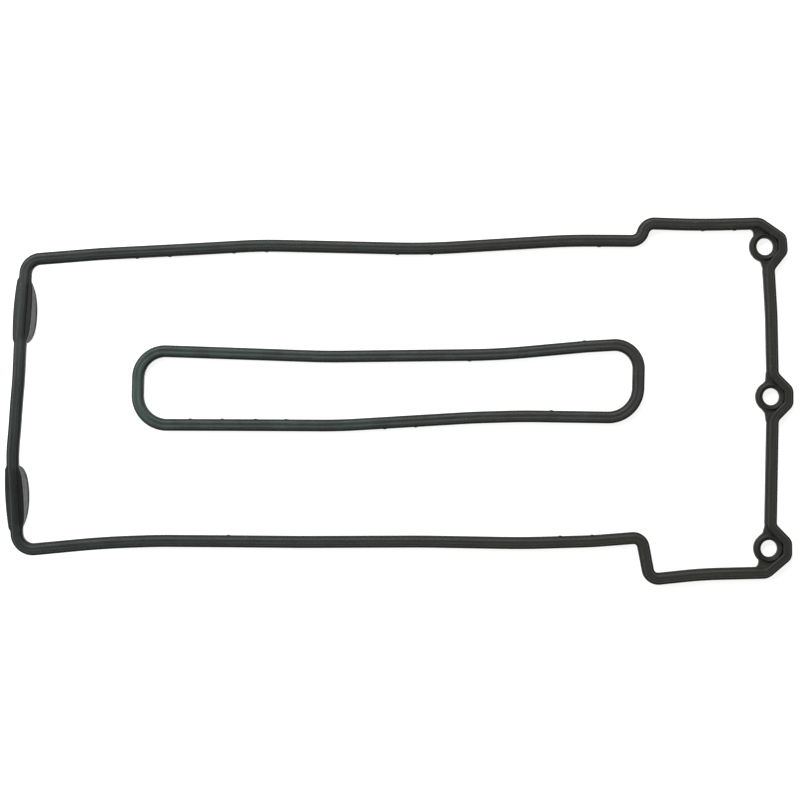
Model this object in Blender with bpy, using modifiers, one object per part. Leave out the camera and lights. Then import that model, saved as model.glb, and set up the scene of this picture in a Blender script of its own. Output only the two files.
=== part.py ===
"""Valve cover gasket for one bank of a V engine, in two moulded rubber loops.

The outer loop seals the edge of the cover. It has three bolt eyes at one end and two
half-moon plugs at the other. The inner loop seals round the spark plug wells. Both lie
loose on a flat surface, sealing side down, and the plugs prop up their end of the outer
loop. Metres, +Z up, origin on the surface under the middle of the outer loop.
"""

import math

import bmesh
import bpy
from mathutils import Matrix, Vector

# Moulded strip, the same on both loops: a flange with a bead on top and ribs below
STRIP_WIDTH = 0.0084
FLANGE_HEIGHT = 0.0050
FLANGE_CHAMFER = 0.0005
BEAD_RISE = 0.0030
BEAD_WIDTH = 0.0050
BEAD_DRAFT = 0.0001
BEAD_SHOULDER = 0.0010
CREST_SPACING = 0.0029
CREST_WIDTH = 0.0008
VALLEY_DEPTH = 0.0007
RIB_WIDTH = 0.0010
GROOVE_WIDTH = 0.0015
GROOVE_DEPTH = 0.0006

# Bolt eyes: a land a little over the flange, and a ring that stands over the land
HOLE_DIAMETER = 0.0118
LAND_RISE = 0.0004
LAND_FOOT = 0.0003
LAND_CORNER_RADIUS = 0.0045
RING_WALL = 0.0049
RING_RISE = 0.0010
RING_SHOULDER = 0.0003
RING_CREST_WIDTH = 0.0016
RING_FOOT = 0.0001

# Half-moon plugs: a disc segment under a pad, with a lip on each flank and a groove round the rim
PLUG_LENGTH = 0.0446
PLUG_DEPTH = 0.0190
PLUG_THICKNESS = 0.0126
PLUG_END_THICKNESS = 0.0104
PLUG_PAD_RISE = 0.0004
PLUG_LIP_HEIGHT = 0.0005
PLUG_LIP_REACH = 0.0004
PLUG_LIP_WIDTH = 0.0024
PLUG_GROOVE_WIDTH = 0.0040
PLUG_GROOVE_DEPTH = 0.0009
PLUG_SPACING = 0.1285
PLUG_MIDDLE_Y = -0.0022
PLUG_LEAN = math.radians(12)

# How the propped end comes down to the surface along the two long runs: how far past the
# plug run it starts, and how far along it reaches the surface
DROP_CLEARANCE = 0.0124
DROP_LENGTH = 0.1500

# Smoothness of what is round, and how far a cutter runs past what it cuts
ARC_TOLERANCE = 0.0001
LAID_STEP = 0.0140
HOLE_SIDES = 32
PLUG_SIDES = 44
PLUG_FLANK_STEPS = 8
SHARP_ANGLE = math.radians(30)
CUT_MARGIN = 0.0080

# Line across the cover that the bolt eyes stand on
BOLT_LINE_X = 0.2585

# Centreline of the outer loop, clockwise from above: x, y and bend radius
UPPER_RUN = (
    (-0.2602, 0.0980, 0.0106),
    (-0.2090, 0.1027, 0.5000),
    (-0.0978, 0.1090, 0.3500),
    (0.0168, 0.1064, 0.5000),
    (0.1175, 0.1124, 0.5000),
    (0.1669, 0.1121, 0.0062),
    (0.1712, 0.1245, 0.0078),
    (0.2082, 0.1232, 0.6000),
)
UPPER_END_RUN = (
    (BOLT_LINE_X - 0.0012, 0.0864, 0.0600),
    (BOLT_LINE_X + 0.0003, 0.0606, 0.3000),
)
LOWER_RUN = (
    (0.2102, -0.1211, 0.3000),
    (0.1737, -0.1249, 0.0070),
    (0.1682, -0.0953, 0.0070),
    (0.1336, -0.0980, 0.3000),
    (0.0854, -0.0994, 0.6000),
    (0.0151, -0.0982, 0.9000),
    (-0.0702, -0.0985, 0.9000),
    (-0.1705, -0.0976, 0.4000),
    (-0.2080, -0.0987, 0.6000),
)
PLUG_RUN = (
    (-0.2664, -0.1039, 0.0110),
    (-0.2679, -0.0373, 0.2000),
    (-0.2633, 0.0219, 0.6000),
)

# Each eye, measured from the middle of its hole. The shortcut is the way of the flange,
# the detour that of the bead round the outside, and the inboard corners close the land.
EYES = {
    "upper": {
        "hole": (BOLT_LINE_X - 0.0043, 0.1080),
        "shortcut": ((-0.0030, 0.0163, 0.0050), (0.0, 0.0, 0.0400)),
        "detour": (
            (-0.0040, 0.0163, 0.0060),
            (0.0112, 0.0058, 0.0035),
            (0.0118, -0.0029, 0.0035),
            (0.0030, -0.0148, 0.0050),
        ),
        "inboard": (
            (0.0056, -0.0225, 0.0010),
            (0.0006, -0.0225, 0.0010),
            (-0.0027, -0.0109, 0.0035),
            (-0.0080, -0.0064, 0.0010),
            (-0.0078, 0.0050, 0.0010),
            (-0.0078, 0.0121, 0.0042),
            (-0.0135, 0.0134, 0.0010),
            (-0.0135, 0.0189, 0.0010),
        ),
    },
    "middle": {
        "hole": (BOLT_LINE_X, 0.0031),
        "shortcut": ((0.0013, -0.0057, 0.6000),),
        "detour": (
            (0.0012, 0.0148, 0.0050),
            (0.0115, 0.0044, 0.0035),
            (0.0115, -0.0046, 0.0035),
            (0.0012, -0.0151, 0.0050),
        ),
        "inboard": (
            (0.0036, -0.0220, 0.0010),
            (-0.0014, -0.0220, 0.0010),
            (-0.0041, -0.0116, 0.0035),
            (-0.0088, -0.0056, 0.0010),
            (-0.0088, 0.0056, 0.0010),
            (-0.0035, 0.0112, 0.0030),
            (-0.0014, 0.0220, 0.0010),
            (0.0036, 0.0220, 0.0010),
        ),
    },
    "lower": {
        "hole": (BOLT_LINE_X - 0.0014, -0.1030),
        "shortcut": (
            (0.0010, 0.0133, 0.1000),
            (0.0, 0.0, 0.0400),
            (-0.0030, -0.0170, 0.0050),
        ),
        "detour": (
            (0.0012, 0.0149, 0.0050),
            (0.0120, 0.0039, 0.0035),
            (0.0120, -0.0051, 0.0035),
            (-0.0020, -0.0170, 0.0060),
        ),
        "inboard": (
            (-0.0135, -0.0196, 0.0010),
            (-0.0135, -0.0144, 0.0010),
            (-0.0074, -0.0128, 0.0042),
            (-0.0070, -0.0055, 0.0010),
            (-0.0096, -0.0045, 0.0010),
            (-0.0098, 0.0036, 0.0010),
            (-0.0074, 0.0081, 0.0020),
            (-0.0042, 0.0108, 0.0030),
            (-0.0013, 0.0220, 0.0010),
            (0.0037, 0.0220, 0.0010),
        ),
    },
}

# Centreline of the inner loop, clockwise from above: x, y and bend radius
INNER_ROUTE = (
    (-0.1837, 0.0356, 0.0191),
    (-0.1423, 0.0342, 0.4000),
    (-0.0528, 0.0311, 0.5000),
    (0.0671, 0.0325, 0.5000),
    (0.1298, 0.0382, 0.0600),
    (0.1665, 0.0403, 0.0170),
    (0.1652, -0.0117, 0.0210),
    (0.0845, -0.0105, 0.5000),
    (0.0503, -0.0115, 0.5000),
    (-0.0438, -0.0171, 0.4000),
    (-0.1171, -0.0167, 0.9000),
    (-0.1848, -0.0165, 0.0205),
)

# Dark moulded rubber, slightly green
RUBBER_COLOUR = (0.034, 0.040, 0.037, 1.0)
RUBBER_ROUGHNESS = 0.55


def clear_scene():
    for obj in list(bpy.data.objects):
        bpy.data.objects.remove(obj, do_unlink=True)


def new_collection(name):
    collection = bpy.data.collections.new(name)
    bpy.context.scene.collection.children.link(collection)
    return collection


def rubber(name):
    material = bpy.data.materials.new(name)
    material.use_nodes = True
    shader = material.node_tree.nodes["Principled BSDF"]
    shader.inputs["Base Color"].default_value = RUBBER_COLOUR
    shader.inputs["Roughness"].default_value = RUBBER_ROUGHNESS
    shader.inputs["Metallic"].default_value = 0.0
    return material


# Flat geometry of routes and outlines


def arc_at(before, corner, after, radius):
    """Points of the arc that rounds one corner."""
    back = (before - corner).normalized()
    ahead = (after - corner).normalized()
    inside = back.angle(ahead)
    turn = math.pi - inside
    if turn < 1e-4:
        return [corner]
    reach = min((before - corner).length, (after - corner).length) * 0.49
    tangent = min(radius * math.tan(turn / 2), reach)
    radius = tangent / math.tan(turn / 2)
    start = corner + back * tangent
    centre = corner + (back + ahead).normalized() * (radius / math.sin(inside / 2))
    side = math.copysign(1.0, back.cross(ahead))
    step = 2 * math.acos(1 - min(ARC_TOLERANCE / radius, 0.3))
    count = max(1, math.ceil(turn / step))
    spoke = start - centre
    return [
        centre + Matrix.Rotation(-side * turn * index / count, 2) @ spoke
        for index in range(count + 1)
    ]


def rounded(corners):
    """Closed polygon with each corner (x, y, radius) rounded."""
    points = []
    for index, (x, y, radius) in enumerate(corners):
        before = Vector(corners[index - 1][:2])
        after = Vector(corners[(index + 1) % len(corners)][:2])
        points += arc_at(before, Vector((x, y)), after, radius)
    return points


def outset(before, corner, after, distance):
    """Corner of the line that runs beside the route, this far to the left of travel."""
    ahead_in = (corner - before).normalized()
    ahead_out = (after - corner).normalized()
    left_in = Vector((-ahead_in.y, ahead_in.x))
    left_out = Vector((-ahead_out.y, ahead_out.x))
    mitre = (left_in + left_out).normalized()
    return corner + mitre * (distance / mitre.dot(left_in))


# How the outer loop lies


def plug_radius():
    return (PLUG_LENGTH**2 / 4 + PLUG_DEPTH**2) / (2 * PLUG_DEPTH)


def plug_seat_height():
    """Height of the strip over a leaning plug that stands on its round edge."""
    rise = plug_radius() - PLUG_DEPTH
    return plug_radius() - rise * math.cos(PLUG_LEAN)


def plug_run_height(y):
    """Arched between the plugs, straight over them, and down past them."""
    slope = math.tan(PLUG_LEAN)
    from_middle = abs(y - PLUG_MIDDLE_Y)
    arch = PLUG_SPACING / 2 - PLUG_LENGTH / 2
    if from_middle > arch:
        return plug_seat_height() - slope * (from_middle - PLUG_SPACING / 2)
    foot = plug_seat_height() + slope * PLUG_LENGTH / 2
    return foot + slope * arch / 2 * (1 - (from_middle / arch) ** 2)


def laid_height(x, y):
    """Height of the sealing face over the surface: a heavy strip let down from its end."""
    start_x = PLUG_RUN[-1][0] + DROP_CLEARANCE
    along = min(max((x - start_x) / DROP_LENGTH, 0.0), 1.0)
    return max(plug_run_height(y), 0.0) * (1 - along) ** 3 * (1 + along)


def laid(points):
    """The closed route at its height, with long steps divided where it slopes."""
    route = []
    for index, point in enumerate(points):
        start = points[index - 1]
        slopes = laid_height(*start) > 0 or laid_height(*point) > 0
        steps = max(1, math.ceil((point - start).length / LAID_STEP)) if slopes else 1
        for step in range(1, steps + 1):
            spot = start.lerp(point, step / steps)
            route.append(Vector((spot.x, spot.y, laid_height(spot.x, spot.y))))
    return route


def flat(points):
    return [Vector((point.x, point.y, 0.0)) for point in points]


# Sections of the strip, across and up


def mirrored(half):
    """Closed section from the points of its right half, bottom to top."""
    return [*half, *[(-x, z) for x, z in reversed(half) if x > 0]]


def flange_half():
    """Right half of the flange: a middle rib, a groove and a side rib, then its edge."""
    rib = RIB_WIDTH / 2
    edge = STRIP_WIDTH / 2
    return [
        (rib, 0.0),
        (rib + GROOVE_WIDTH / 2, GROOVE_DEPTH),
        (rib + GROOVE_WIDTH, 0.0),
        (edge - FLANGE_CHAMFER, 0.0),
        (edge, FLANGE_CHAMFER),
        (edge, FLANGE_HEIGHT),
    ]


def bead_half():
    """Right half of the bead over its foot: the shoulder, one crest and the valley."""
    top = FLANGE_HEIGHT + BEAD_RISE
    inner = (CREST_SPACING - CREST_WIDTH) / 2
    return [
        (BEAD_WIDTH / 2 - BEAD_DRAFT, top - BEAD_SHOULDER),
        (inner + CREST_WIDTH, top),
        (inner, top),
        (0.0, top - VALLEY_DEPTH),
    ]


def flange_section():
    return mirrored(flange_half())


def bead_section():
    """The bead with its foot sunk into the flange, for a join."""
    sunk_foot = (BEAD_WIDTH / 2, FLANGE_HEIGHT - BEAD_SHOULDER)
    return mirrored([sunk_foot, *bead_half()])


def strip_section():
    foot = (BEAD_WIDTH / 2, FLANGE_HEIGHT)
    return mirrored([*flange_half(), foot, *bead_half()])


# Blender objects


def closed_curve(name, points):
    """Cyclic polyline curve, not linked to a collection."""
    curve = bpy.data.curves.new(name, "CURVE")
    spline = curve.splines.new("POLY")
    spline.points.add(len(points) - 1)
    for target, point in zip(spline.points, points):
        target.co = (*point, 1.0)
    spline.use_cyclic_u = True
    return bpy.data.objects.new(name, curve)


def mesh_from(curve_object, collection):
    """Mesh object made from a curve object, which is removed."""
    collection.objects.link(curve_object)
    bpy.context.view_layer.update()
    graph = bpy.context.evaluated_depsgraph_get()
    mesh = bpy.data.meshes.new_from_object(curve_object.evaluated_get(graph))
    name = curve_object.name
    placed = curve_object.matrix_world.copy()
    bpy.data.objects.remove(curve_object, do_unlink=True)
    work = bmesh.new()
    work.from_mesh(mesh)
    bmesh.ops.remove_doubles(work, verts=work.verts, dist=1e-6)
    bmesh.ops.recalc_face_normals(work, faces=work.faces)
    work.to_mesh(mesh)
    work.free()
    made = bpy.data.objects.new(name, mesh)
    made.matrix_world = placed
    mesh.name = name
    collection.objects.link(made)
    return made


def sweep(name, route, section, collection):
    """Closed loop of the section along the route, kept upright."""
    profile = closed_curve(name + "_section", [(x, z, 0.0) for x, z in section])
    profile.data.dimensions = "2D"
    loop = closed_curve(name, route)
    loop.data.dimensions = "3D"
    loop.data.twist_mode = "Z_UP"
    loop.data.bevel_mode = "OBJECT"
    loop.data.bevel_object = profile
    made = mesh_from(loop, collection)
    bpy.data.objects.remove(profile, do_unlink=True)
    return made


def prism(name, outline, bottom, top, collection):
    """Flat outline filled and extruded from bottom to top."""
    flat_curve = closed_curve(name, [(point[0], point[1], 0.0) for point in outline])
    flat_curve.data.dimensions = "2D"
    flat_curve.data.fill_mode = "BOTH"
    flat_curve.data.extrude = (top - bottom) / 2
    flat_curve.location.z = (top + bottom) / 2
    return mesh_from(flat_curve, collection)


def cylinder(name, radius, length, sides, collection):
    """Cylinder on Z, centred on its origin."""
    mesh = bpy.data.meshes.new(name)
    work = bmesh.new()
    bmesh.ops.create_cone(
        work,
        cap_ends=True,
        segments=sides,
        radius1=radius,
        radius2=radius,
        depth=length,
    )
    work.to_mesh(mesh)
    work.free()
    made = bpy.data.objects.new(name, mesh)
    collection.objects.link(made)
    return made


def turned(name, profile, sides, collection):
    """Closed profile of (radius, height) points turned round Z."""
    mesh = bpy.data.meshes.new(name)
    count = len(profile)
    edges = [(index, (index + 1) % count) for index in range(count)]
    mesh.from_pydata([(radius, 0.0, height) for radius, height in profile], edges, [])
    made = bpy.data.objects.new(name, mesh)
    collection.objects.link(made)
    screw = made.modifiers.new("turn", "SCREW")
    screw.steps = sides
    screw.render_steps = sides
    screw.use_merge_vertices = True
    screw.merge_threshold = 0.000001
    return made


def combine(target, operation, other):
    boolean = target.modifiers.new(other.name, "BOOLEAN")
    boolean.operation = operation
    boolean.solver = "EXACT"
    boolean.object = other


def hide(objects):
    for obj in objects:
        obj.hide_render = True
        obj.display_type = "WIRE"


# Parts of the outer loop


def at_hole(eye, corners):
    """Corners of an eye, moved to where its hole is."""
    hole_x, hole_y = eye["hole"]
    return [(hole_x + x, hole_y + y, radius) for x, y, radius in corners]


def outer_corners(way):
    """Corners of the whole outer loop, past the eyes by their shortcut or detour."""
    return [
        *UPPER_RUN,
        *at_hole(EYES["upper"], EYES["upper"][way]),
        *UPPER_END_RUN,
        *at_hole(EYES["middle"], EYES["middle"][way]),
        *at_hole(EYES["lower"], EYES["lower"][way]),
        *LOWER_RUN,
        *PLUG_RUN,
    ]


def eye_outline(eye):
    """Outline of an eye: outside the bead by half a strip, closed by the inboard corners."""
    route = outer_corners("detour")
    first = route.index(at_hole(eye, eye["detour"])[0])
    outline = []
    for index in range(first, first + len(eye["detour"])):
        before, corner, after = (Vector(route[i][:2]) for i in (index - 1, index, index + 1))
        edge = outset(before, corner, after, STRIP_WIDTH / 2)
        outline.append((edge.x, edge.y, LAND_CORNER_RADIUS))
    return rounded([*outline, *at_hole(eye, eye["inboard"])])


def ring_profile():
    """Half section of the raised ring round a bolt hole."""
    inside = HOLE_DIAMETER / 4
    outside = HOLE_DIAMETER / 2 + RING_WALL
    inner_crest = (inside * 2 + outside - RING_CREST_WIDTH) / 2
    outer_crest = inner_crest + RING_CREST_WIDTH
    shoulder = FLANGE_HEIGHT + LAND_RISE + RING_SHOULDER
    top = FLANGE_HEIGHT + LAND_RISE + RING_RISE
    return [
        (outside, shoulder),
        (outside, RING_FOOT),
        (inside, RING_FOOT),
        (inside, shoulder),
        (inner_crest - RING_RISE, shoulder),
        (inner_crest, top),
        (outer_crest, top),
        (outer_crest + RING_RISE, shoulder),
    ]


def eye_blank(name, eye, helpers):
    """Land and ring of an eye, before its hole is cut."""
    top = FLANGE_HEIGHT + LAND_RISE
    land = prism(name + "_eye_land", eye_outline(eye), LAND_FOOT, top, helpers)
    ring = turned(name + "_eye_ring", ring_profile(), HOLE_SIDES, helpers)
    ring.location = (*eye["hole"], 0.0)
    combine(land, "UNION", ring)
    return land


def eye_bore(name, eye, helpers):
    """Cutter of a bolt hole, turned half a side against the ring."""
    length = 2 * (FLANGE_HEIGHT + LAND_RISE + RING_RISE + CUT_MARGIN)
    bore = cylinder(name + "_eye_hole", HOLE_DIAMETER / 2, length, HOLE_SIDES, helpers)
    bore.location = (*eye["hole"], 0.0)
    bore.rotation_euler.z = math.pi / HOLE_SIDES
    return bore


def plug_outline(extra):
    """Plug seen from above: thickest in the middle, with blunt ends."""
    half = PLUG_LENGTH / 2
    end = PLUG_END_THICKNESS / 2 + extra
    bulge = (PLUG_THICKNESS - PLUG_END_THICKNESS) / 2
    flank = []
    for index in range(PLUG_FLANK_STEPS + 1):
        y = -half + PLUG_LENGTH * index / PLUG_FLANK_STEPS
        flank.append((end + bulge * (1 - (y / half) ** 2), y))
    return [*flank, *[(-x, -y) for x, y in flank]]


def plug_blank(name, helpers):
    """Half-moon plug on its own axes: X through it, Y along the strip, Z up."""
    radius = plug_radius()
    below = -PLUG_DEPTH - CUT_MARGIN
    reach = PLUG_THICKNESS / 2 + CUT_MARGIN
    lip_inside = radius - PLUG_LIP_WIDTH
    groove_bottom = radius - PLUG_GROOVE_DEPTH
    groove_mouth = radius + CUT_MARGIN
    half_bottom = PLUG_GROOVE_WIDTH / 2
    half_mouth = half_bottom + PLUG_GROOVE_DEPTH
    pad_top = FLANGE_HEIGHT + PLUG_PAD_RISE

    body = prism(name, plug_outline(0.0), below, pad_top, helpers)
    disc = cylinder(name + "_disc", radius - PLUG_LIP_REACH, 2 * reach, PLUG_SIDES, helpers)
    lips = prism(name + "_lips", plug_outline(PLUG_LIP_HEIGHT), below, -PLUG_LIP_WIDTH, helpers)
    lip_ring = turned(
        name + "_lip_ring",
        [(radius, reach), (radius, -reach), (lip_inside, -reach), (lip_inside, reach)],
        PLUG_SIDES,
        helpers,
    )
    groove = turned(
        name + "_groove",
        [
            (groove_mouth, half_mouth),
            (groove_mouth, -half_mouth),
            (groove_bottom, -half_bottom),
            (groove_bottom, half_bottom),
        ],
        PLUG_SIDES,
        helpers,
    )
    across = Matrix.Rotation(math.pi / 2, 4, "Y")
    disc_centre = Matrix.Translation((0.0, 0.0, radius - PLUG_DEPTH))
    for round_piece in (disc, lip_ring, groove):
        round_piece.matrix_world = disc_centre @ across
    combine(lips, "INTERSECT", lip_ring)
    combine(body, "INTERSECT", disc)
    combine(body, "UNION", lips)
    combine(body, "DIFFERENCE", groove)
    return body, [disc, lips, lip_ring, groove]


def plug_place(y):
    """Frame of a plug under the middle of the strip at this y on the plug run."""
    corners = [*PLUG_RUN, UPPER_RUN[0]]
    for start, end in zip(corners, corners[1:]):
        if start[1] <= y < end[1]:
            share = (y - start[1]) / (end[1] - start[1])
            x = start[0] + (end[0] - start[0]) * share
            heading = Vector((end[0] - start[0], end[1] - start[1], 0.0)).normalized()
    lean = PLUG_LEAN if y < PLUG_MIDDLE_Y else -PLUG_LEAN
    along = Vector((heading.x, heading.y, math.tan(lean))).normalized()
    across = along.cross(Vector((0.0, 0.0, 1.0))).normalized()
    up = across.cross(along)
    frame = Matrix((across, along, up)).transposed().to_4x4()
    frame.translation = (x, y, laid_height(x, y))
    return frame


def add_plug(gasket, name, y, helpers):
    body, tools = plug_blank(name, helpers)
    frame = plug_place(y)
    for piece in (body, *tools):
        piece.matrix_world = frame @ piece.matrix_world
    combine(gasket, "UNION", body)


def make_outer_gasket(parts, helpers):
    flange_route = laid(rounded(outer_corners("shortcut")))
    bead_route = laid(rounded(outer_corners("detour")))
    gasket = sweep("outer_gasket", flange_route, flange_section(), parts)
    bead = sweep("sealing_bead", bead_route, bead_section(), helpers)
    for name, side in (("lower_plug", -1), ("upper_plug", 1)):
        add_plug(gasket, name, PLUG_MIDDLE_Y + side * PLUG_SPACING / 2, helpers)
    for name, eye in EYES.items():
        combine(gasket, "UNION", eye_blank(name, eye, helpers))
    combine(gasket, "UNION", bead)
    for name, eye in EYES.items():
        combine(gasket, "DIFFERENCE", eye_bore(name, eye, helpers))
    gasket.data.materials.append(rubber("outer_gasket_rubber"))
    return gasket


def make_inner_gasket(parts):
    route = flat(rounded(INNER_ROUTE))
    gasket = sweep("inner_gasket", route, strip_section(), parts)
    gasket.data.materials.append(rubber("inner_gasket_rubber"))
    return gasket


def main():
    clear_scene()
    parts = new_collection("valve_cover_gasket")
    helpers = new_collection("helpers")
    gaskets = (make_outer_gasket(parts, helpers), make_inner_gasket(parts))
    for gasket in gaskets:
        gasket.data.shade_smooth()
        gasket.data.set_sharp_from_angle(angle=SHARP_ANGLE)
    hide(helpers.objects)


main()
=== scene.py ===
"""Valve cover gasket: the moulded finish of its two rubber loops, on a white table.

The outer loop goes round the cover, with three bolt eyes and two half-moon plugs. The
inner loop goes round the spark plug wells. Both are swept from a rounded section and stay
in the frame of the solids. Metres, +Z up.
"""

import math

import bmesh
import bpy
from bpy.props import FloatProperty, FloatVectorProperty, PointerProperty
from mathutils import Matrix, Vector


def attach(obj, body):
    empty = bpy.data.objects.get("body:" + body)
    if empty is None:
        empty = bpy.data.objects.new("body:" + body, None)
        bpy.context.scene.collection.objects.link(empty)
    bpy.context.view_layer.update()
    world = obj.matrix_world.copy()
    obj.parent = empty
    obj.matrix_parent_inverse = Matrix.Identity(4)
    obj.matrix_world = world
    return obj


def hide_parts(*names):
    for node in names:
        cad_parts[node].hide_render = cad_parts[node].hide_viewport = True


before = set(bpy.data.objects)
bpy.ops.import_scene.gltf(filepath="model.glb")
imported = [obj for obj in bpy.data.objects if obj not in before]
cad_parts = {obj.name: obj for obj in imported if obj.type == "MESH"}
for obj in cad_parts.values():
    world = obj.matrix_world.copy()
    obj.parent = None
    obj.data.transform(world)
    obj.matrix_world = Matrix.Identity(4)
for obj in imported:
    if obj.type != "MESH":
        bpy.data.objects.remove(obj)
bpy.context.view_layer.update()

bl_info = {
    "name": "Valve cover gasket",
    "version": (1, 0, 0),
    "blender": (4, 5, 0),
    "location": "3D View > Sidebar > Gasket",
    "description": "Sweeps the two rubber loops of a valve cover gasket and lays them on a table",
    "category": "Object",
}

BODY = "root"

# Line across the cover that the bolt eyes stand on
BOLT_LINE_X = 0.2585

# Centreline of the outer loop, clockwise from above: x, y and bend radius
UPPER_RUN = (
    (-0.2602, 0.0980, 0.0106),
    (-0.2090, 0.1027, 0.5000),
    (-0.0978, 0.1090, 0.3500),
    (0.0168, 0.1064, 0.5000),
    (0.1175, 0.1124, 0.5000),
    (0.1669, 0.1121, 0.0082),
    (0.1712, 0.1245, 0.0080),
    (0.2082, 0.1232, 0.6000),
)
UPPER_END_RUN = (
    (BOLT_LINE_X - 0.0012, 0.0864, 0.0600),
    (BOLT_LINE_X + 0.0003, 0.0606, 0.3000),
)
LOWER_RUN = (
    (0.2102, -0.1211, 0.3000),
    (0.1737, -0.1249, 0.0074),
    (0.1682, -0.0953, 0.0070),
    (0.1336, -0.0980, 0.3000),
    (0.0854, -0.0994, 0.6000),
    (0.0151, -0.0982, 0.9000),
    (-0.0702, -0.0985, 0.9000),
    (-0.1705, -0.0976, 0.4000),
    (-0.2080, -0.0987, 0.6000),
)
PLUG_RUN = (
    (-0.2664, -0.1039, 0.0110),
    (-0.2679, -0.0373, 0.2000),
    (-0.2633, 0.0219, 0.6000),
)

# Each eye, measured from the middle of its hole. The detour is the way of the strip round
# the outside, and the inboard corners close the land round the hole.
EYES = {
    "upper": {
        "hole": (BOLT_LINE_X - 0.0043, 0.1080),
        "detour": (
            (-0.0040, 0.0163, 0.0070),
            (0.0112, 0.0058, 0.0035),
            (0.0118, -0.0029, 0.0035),
            (0.0025, -0.0148, 0.0085),
        ),
        "inboard": (
            (0.0056, -0.0225, 0.0010),
            (0.0006, -0.0225, 0.0010),
            (-0.0027, -0.0109, 0.0035),
            (-0.0080, -0.0064, 0.0010),
            (-0.0078, 0.0050, 0.0010),
            (-0.0078, 0.0117, 0.0042),
            (-0.0135, 0.0125, 0.0010),
            (-0.0135, 0.0189, 0.0010),
        ),
    },
    "middle": {
        "hole": (BOLT_LINE_X, 0.0031),
        "detour": (
            (0.0012, 0.0148, 0.0080),
            (0.0115, 0.0044, 0.0035),
            (0.0115, -0.0046, 0.0035),
            (0.0012, -0.0151, 0.0080),
        ),
        "inboard": (
            (0.0036, -0.0220, 0.0010),
            (-0.0014, -0.0220, 0.0010),
            (-0.0034, -0.0170, 0.0010),
            (-0.0041, -0.0116, 0.0035),
            (-0.0088, -0.0056, 0.0010),
            (-0.0088, 0.0056, 0.0010),
            (-0.0038, 0.0112, 0.0018),
            (-0.0034, 0.0170, 0.0010),
            (-0.0014, 0.0220, 0.0010),
            (0.0036, 0.0220, 0.0010),
        ),
    },
    "lower": {
        "hole": (BOLT_LINE_X - 0.0014, -0.1030),
        "detour": (
            (0.0012, 0.0149, 0.0080),
            (0.0120, 0.0039, 0.0035),
            (0.0120, -0.0051, 0.0035),
            (-0.0020, -0.0170, 0.0060),
        ),
        "inboard": (
            (-0.0135, -0.0196, 0.0010),
            (-0.0135, -0.0144, 0.0010),
            (-0.0074, -0.0128, 0.0042),
            (-0.0070, -0.0055, 0.0010),
            (-0.0096, -0.0045, 0.0010),
            (-0.0098, 0.0036, 0.0010),
            (-0.0074, 0.0081, 0.0020),
            (-0.0042, 0.0108, 0.0030),
            (-0.0013, 0.0220, 0.0010),
            (0.0037, 0.0220, 0.0010),
        ),
    },
}

# Centreline of the inner loop, clockwise from above: x, y and bend radius
INNER_ROUTE = (
    (-0.1837, 0.0356, 0.0191),
    (-0.1423, 0.0342, 0.4000),
    (-0.0528, 0.0311, 0.5000),
    (0.0671, 0.0325, 0.5000),
    (0.1298, 0.0382, 0.0600),
    (0.1665, 0.0403, 0.0170),
    (0.1652, -0.0117, 0.0210),
    (0.0845, -0.0105, 0.5000),
    (0.0503, -0.0115, 0.5000),
    (-0.0438, -0.0171, 0.4000),
    (-0.1171, -0.0167, 0.9000),
    (-0.1848, -0.0165, 0.0205),
)

# Where a nub of flash stands on the strip's edge: x and y of the centreline there, and the
# side, 1 inboard and -1 outboard
OUTER_NUBS = (
    (-0.1849, 0.1040, 1),
    (-0.1621, 0.1053, 1),
    (-0.1174, 0.1079, 1),
    (-0.0943, 0.1085, 1),
    (-0.0026, 0.1070, 1),
    (0.0211, 0.1069, 1),
    (0.1385, 0.1119, 1),
    (0.2112, 0.1232, 1),
    (0.2332, 0.1241, 1),
    (0.1337, -0.0984, 1),
    (0.1113, -0.0988, 1),
    (-0.1212, -0.0982, 1),
)
INNER_NUBS = (
    (0.0477, 0.0325, 1),
    (0.1282, 0.0380, -1),
    (0.1049, -0.0110, 1),
    (0.0099, -0.0142, -1),
    (-0.0117, -0.0157, -1),
    (-0.0807, -0.0170, 1),
    (-0.1020, -0.0169, 1),
    (-0.1254, -0.0168, 1),
    (-0.1478, -0.0167, 1),
)

# Smoothness of the mesh
BEND_TOLERANCE = 0.00001  # how far a chord may cut into a bend
COARSEST_BEND = 0.3  # the same at most, as a share of the bend's radius
SMALLEST_TURN = 1e-4  # a corner that turns less, in radians, gets no bend
TANGENT_SHARE = 0.49  # most of a side that the bend at one end may take
STATION_STEP = 0.0030  # longest way between two sections of the sweep
CLOSEST_STATIONS = 1e-5  # shortest way between them
SAME_PLACE = 1e-7  # points of the route that lie closer are one
FINE_STEPS = 6  # sections to either side of a fine place
BOW_STEPS = 12  # pieces of a long side between the plugs
RING_STEPS = 96  # sides of an eye's ring
CREST_STEPS = 6  # from the middle of the ring's crest to its foot
PLUG_STEPS = 160  # sides of a plug's disc
MERGE_DISTANCE = 0.000001
SHARP_ANGLE = math.radians(40)  # edges that turn more are shaded sharp

# Strip: the depth of a sealing groove at five places across it and the rounding of the lower
# edges, as shares of the full depth and of the upper edges, and how sharply nubs and bow end
GROOVE_SHAPE = (0.0, 0.8, 1.0, 0.8, 0.0)
LOWER_EDGE = 0.6
NUB_FALL = 1.3
BOW_FALL = 1.4

# Eyes
LEAST_FLANGE = 0.1  # share of the flange that is left where the land takes over
LAND_OUTSET = 0.42  # how far outboard the land reaches, as a share of the strip's width
LAND_BOTTOM = 0.0003  # height of the land's underside
RING_FOOT_DROP = 0.4  # how far the ring's foot is sunk, as a share of the land's drop
DRILL_REACH = 0.02

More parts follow.
